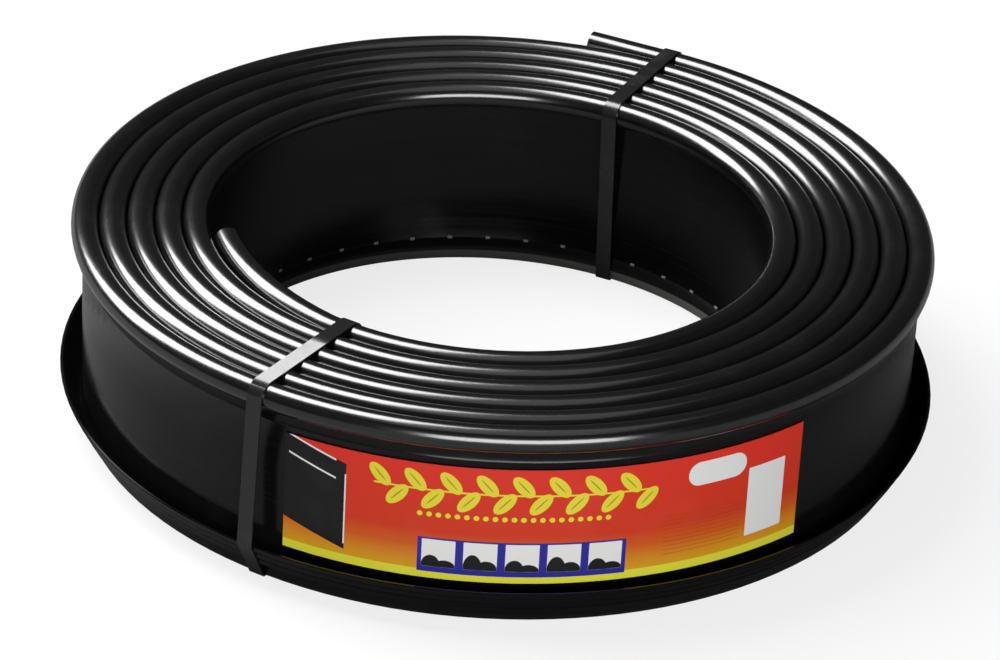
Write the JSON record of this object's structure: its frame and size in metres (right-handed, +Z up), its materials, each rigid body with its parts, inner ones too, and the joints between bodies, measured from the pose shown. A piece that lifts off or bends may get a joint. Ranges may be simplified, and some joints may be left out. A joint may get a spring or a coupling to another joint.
{
  "type": "coil of plastic lawn edging",
  "caption": "Flat-wound coil of black plastic lawn edging with a round hollow bead, a thin web and a flared foot, tied by straps and carrying a paper label.",
  "frame": {"origin": "middle of the coil's bounding box, on the floor that the coil lies on", "axes": "+Z up along the coil's axis, -Y towards the labelled front, +X to the right with the label in front"},
  "size_m": [0.4284, 0.4334, 0.1033],
  "materials": {
    "strip_plastic": "black extruded polyethylene, glossy with fine extrusion lines and dusty scuffs",
    "strap_plastic": "flat black polypropylene strap, satin",
    "label_paper": "printed glossy paper, red to orange to yellow with a black left part"
  },
  "bodies": {
    "root": {"edging_strip": "strip_plastic", "front_strap": "strap_plastic", "back_strap": "strap_plastic", "label": "label_paper"}
  },
  "joints": []
}
